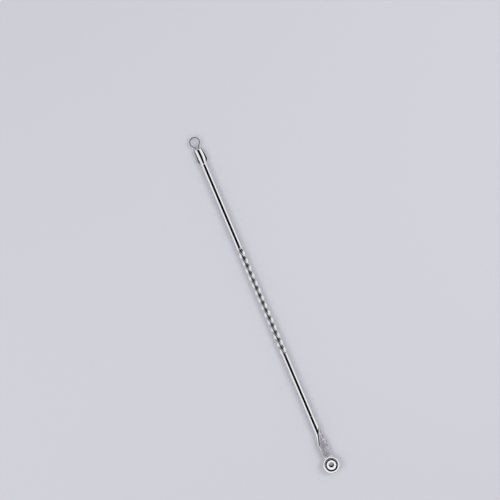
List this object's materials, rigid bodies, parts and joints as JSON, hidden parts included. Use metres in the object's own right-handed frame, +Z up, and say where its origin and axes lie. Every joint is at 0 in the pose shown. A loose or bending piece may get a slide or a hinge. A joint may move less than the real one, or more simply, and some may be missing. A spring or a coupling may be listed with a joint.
{
  "type": "blackhead extractor",
  "caption": "Slim double-ended steel extractor: wire loop in a crimped tip, rope-rolled grip, forged neck and a small drilled cup.",
  "frame": {"origin": "middle of the tool's length and width, on the surface it lies on", "axes": "+X along the tool from the wire loop to the cup, +Z up out of the open cup, +Y across the tool"},
  "size_m": [0.13, 0.006, 0.0024],
  "materials": {
    "polished_bar": "mirror-polished plated steel",
    "wire": "bright drawn steel wire",
    "braze": "dull silver braze",
    "forged_head": "plated over a matte forged neck, with a polished cup"
  },
  "bodies": {
    "root": {"handle_bar": "polished_bar", "loop_wire": "wire", "loop_braze": "braze", "spoon_head": "forged_head", "spoon_braze": "braze"}
  },
  "joints": []
}
